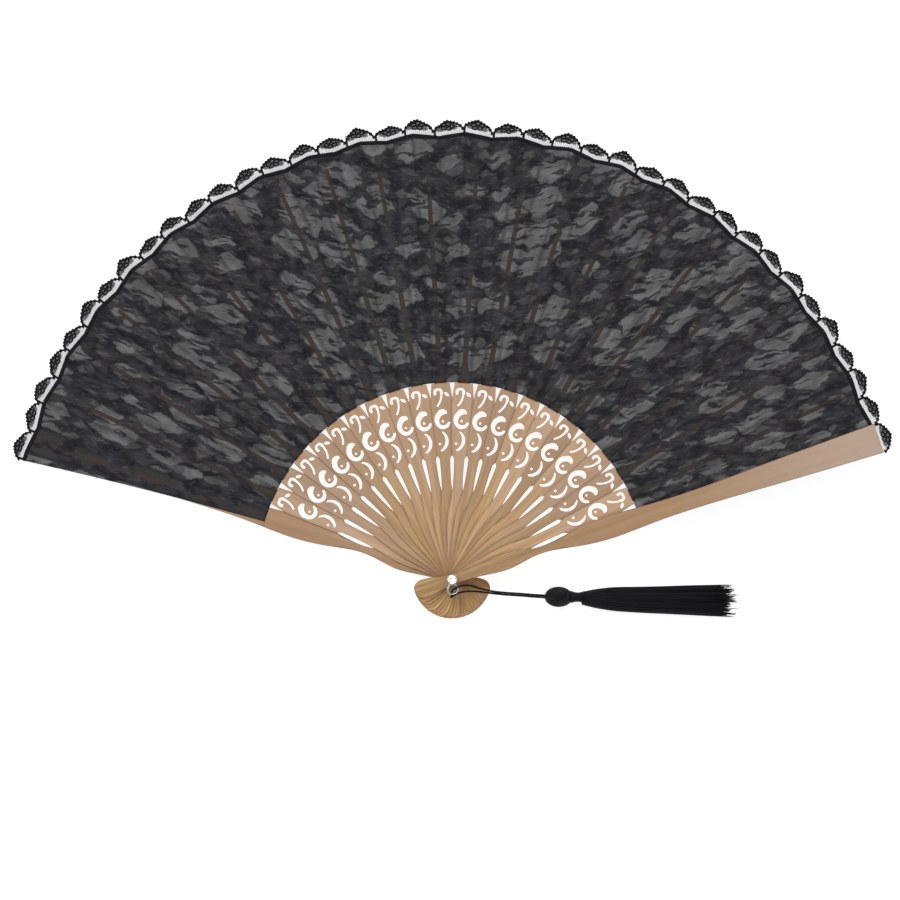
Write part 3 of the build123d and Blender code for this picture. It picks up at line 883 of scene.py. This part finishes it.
# %% Edge pieces
pleat_spare, braid_inset, net_drop, net_thickness = 1.04, 0.1 * MM, 0.06 * MM, 0.04 * MM
posts = np.linspace(edge_left, edge_right, scallop_count + 1)
scallops = [scallop(left, right, arch_height * (1 + draw.uniform(-0.05, 0.05)), draw.uniform(-0.04, 0.04))
            for left, right in zip(posts, posts[1:])]
arches = [(*open_lines[0][:2], aside) for open_lines, _, aside in reversed(scallops)]
hem_line = [np.concatenate(lines) for lines in zip(*arches)]
for index in range(gaps):
    spot = first_angle - index * pitch
    high = edge_left if index == 0 else spot + pitch / 4
    low = edge_right if index == gaps - 1 else spot - 0.75 * pitch
    parts = []
    for open_lines, whole_lines, _ in scallops:
        for angle, radius, half, sides, flatness in open_lines:
            angle, radius, half = cut(low, high, angle, radius, half)
            if len(angle) > 1:
                parts.append(lay(index, angle, radius, half, sides, flatness))
        parts += [lay(index, *line) for line in whole_lines if panel_at(line[0].mean()) == index]
    braid_angle = np.linspace(high, low, 91)
    weave = (0.85 + 0.08 * np.sin(np.arange(len(braid_angle)) * 1.9)) * MM
    parts.append(lay(index, braid_angle, edge_at(braid_angle) - braid_inset, weave, *braid_form))
    trim = make_piece(f"leaf_edging_{index + 1:02d}", *gather(parts), edge_material)
    fold_with(trim, index)
    net_angle, net_top, net_aside = (line[::-1] for line in cut(low, high, *hem_line))
    across = np.linspace(0, 1, 7)[:, None]
    foot = edge_at(net_angle)
    net_radius = foot + (net_top - foot) * across
    net_top_face = place(index, net_angle - spot + 0 * across, net_radius, lift=-net_drop)
    net_flat = np.stack([net_aside + 0 * across, arch_height / MM * across + 0 * net_angle], axis=2)
    net = slab(f"leaf_net_{index + 1:02d}", net_top_face, net_thickness, net_material, cloth=net_flat)
    fold_with(net, index)
    cut_angle = (high - low) * pleat_spare
    facet_area = (leaf_outer ** 2 - leaf_inner ** 2) / 2 * cut_angle
    flat_size = (cut_angle * leaf_outer, leaf_outer - leaf_inner)
print("scallops:", scallop_count, "each", round(leaf_outer * (posts[0] - posts[1]) / MM, 1), "mm wide")
show(trim), show(net)

# %% [markdown]
# ## The tassel
# A wound knot, a thread binding and a skirt of several hundred loose yarns. The knot is an egg with a
# thread wound over it from end to end, so its surface is ribbed along lines that lean. The binding is one
# thread in a tight helix. Each yarn of the skirt is a thin tube: it leaves the binding in its own place in
# the bundle and keeps that place while the bundle widens and sinks to the table.

# %% Tassel knot and binding
ball_low, ball_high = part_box("tassel_ball")
ball_centre = np.array((ball_low + ball_high) / 2)
skirt_low, skirt_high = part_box("tassel_skirt")
neck_low, neck_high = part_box("tassel_neck")
tassel_turn = math.radians(-0.9)
tassel_along = np.array([math.cos(tassel_turn), math.sin(tassel_turn), 0])
tassel_side = np.array([-tassel_along[1], tassel_along[0], 0])
upwards = np.array([0.0, 0.0, 1.0])
silk_material = thread_recipe("silky_yarn", 1800, 0.34)

lengthways, round_steps = 90, 240
latitude = np.linspace(0, np.pi, lengthways)[:, None]
longitude = np.linspace(0, 2 * np.pi, round_steps, endpoint=False)[None, :]
windings, winding_height = 26, 0.32 * MM
ribbing = np.abs(np.sin(windings / 2 * (longitude + 0.9 * np.cos(latitude))))
girth = (np.array(ball_high - ball_low)[2] / 2 - 0.35 * MM) + winding_height * ribbing * np.sin(latitude)
half_length = (ball_high.x - ball_low.x) / 2
knot = (
    ball_centre
    - tassel_along * (half_length * np.cos(latitude) + 0 * longitude)[:, :, None]
    + tassel_side * (girth * np.sin(latitude) ** 0.9 * np.cos(longitude))[:, :, None]
    + upwards * (girth * np.sin(latitude) ** 0.9 * np.sin(longitude))[:, :, None]
)
inner_knot = knot[1:-1]
knot_number = np.arange((lengthways - 2) * round_steps).reshape(lengthways - 2, round_steps)
knot_after = np.roll(knot_number, -1, axis=1)
knot_quads = np.stack([knot_number[:-1], knot_after[:-1], knot_after[1:], knot_number[1:]], 2).reshape(-1, 4)
pole = knot_number.size
knot_caps = np.concatenate([
    np.stack([knot_after[0], knot_number[0], np.full(round_steps, pole)], 1),
    np.stack([knot_number[-1], knot_after[-1], np.full(round_steps, pole + 1)], 1),
])
knot_points = np.concatenate([inner_knot.reshape(-1, 3), knot[0, :1], knot[-1, :1]])
wound_knot = make_piece("wound_knot", knot_points, knot_quads, knot_caps, silk_material)
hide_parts("tassel_ball")
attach(show(wound_knot), "tassel")

binding_turns = 15
binding_steps = np.linspace(0, 1, binding_turns * 24)
neck_start = np.array([neck_low.x, (neck_low.y + neck_high.y) / 2 + 0.05 * MM, ball_centre[2]])
neck_length = neck_high.x - neck_low.x
waist = (2.38 - 0.62 * np.sin(np.pi * binding_steps)) * MM
swing = 2 * np.pi * binding_turns * binding_steps
binding_path = (
    neck_start
    + tassel_along * (neck_length * (0.04 + 0.92 * binding_steps))[:, None]
    + tassel_side * (waist * np.cos(swing))[:, None]
    + upwards * (waist * np.sin(swing))[:, None]
)
core_steps = np.linspace(-0.15, 1.15, 10)
core_path = neck_start + tassel_along * (neck_length * core_steps)[:, None]
binding = gather([
    tubes(binding_path[None], np.full((1, len(binding_steps)), 0.27 * MM), 6),
    tubes(core_path[None], (2.2 - 0.62 * np.sin(np.pi * core_steps.clip(0, 1)))[None] * MM, 24),
])
neck_binding = make_piece("neck_binding", *binding, silk_material)
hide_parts("tassel_neck")
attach(show(neck_binding), "tassel")

# %% [markdown]
# The yarns are spread over the bundle's section by the golden angle, so that no two lie in the same place.
# Their ends are ragged, and the outer ones stray.

# %% Tassel skirt
yarns, yarn_steps = 520, 26
order = np.arange(yarns)
golden_angle = math.pi * (3 - math.sqrt(5))
spoke = np.sqrt((order + 0.5) / yarns)[:, None]
around = (order * golden_angle)[:, None]
travel = np.linspace(0, 1, yarn_steps)[None, :]
skirt_length = skirt_high.x - skirt_low.x
tip = 1 - 0.055 * draw.random((yarns, 1)) - 0.05 * draw.random((yarns, 1)) ** 3
gather_waves = 0.035 * np.sin(7 * around) + 0.03 * np.sin(11 * around + 1)
travel = travel * (tip + gather_waves - 0.03)
bell = np.clip(travel / 0.25, 0, 1)
bell = bell * (2 - bell)
half_width = (2.5 + 2.3 * bell + 2.2 * np.clip((travel - 0.15) / 0.85, 0, 1)) * MM
half_height = (2.45 + 1.1 * bell - 0.15 * travel) * MM
stray = (0.25 * draw.normal(0, 1, (yarns, 1)) * travel ** 2 + 0.10 * np.sin(9 * travel + 20 * spoke)) * MM
skirt_start = np.array([skirt_low.x - 1.2 * MM, (skirt_low.y + skirt_high.y) / 2 + 0.45 * MM, 0])
middle_line = (4.35 - 0.55 * travel) * MM
yarn_radius = 0.20 * MM
side_place = spoke * half_width * np.cos(around) + stray
up_place = np.maximum(middle_line + spoke * half_height * np.sin(around) + 0.5 * stray, 0.32 * MM)
yarn_path = (
    skirt_start
    + tassel_along * ((skirt_length + 0.8 * MM) * travel)[:, :, None]
    + tassel_side * side_place[:, :, None]
    + upwards * up_place[:, :, None]
)
yarn_radii = yarn_radius * (1 - 0.35 * np.linspace(0, 1, yarn_steps)[None, :] ** 6) * np.ones((yarns, 1))
skirt = make_piece("skirt_yarns", *tubes(yarn_path, yarn_radii, 5), silk_material)
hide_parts("tassel_skirt")
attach(show(skirt), "tassel")
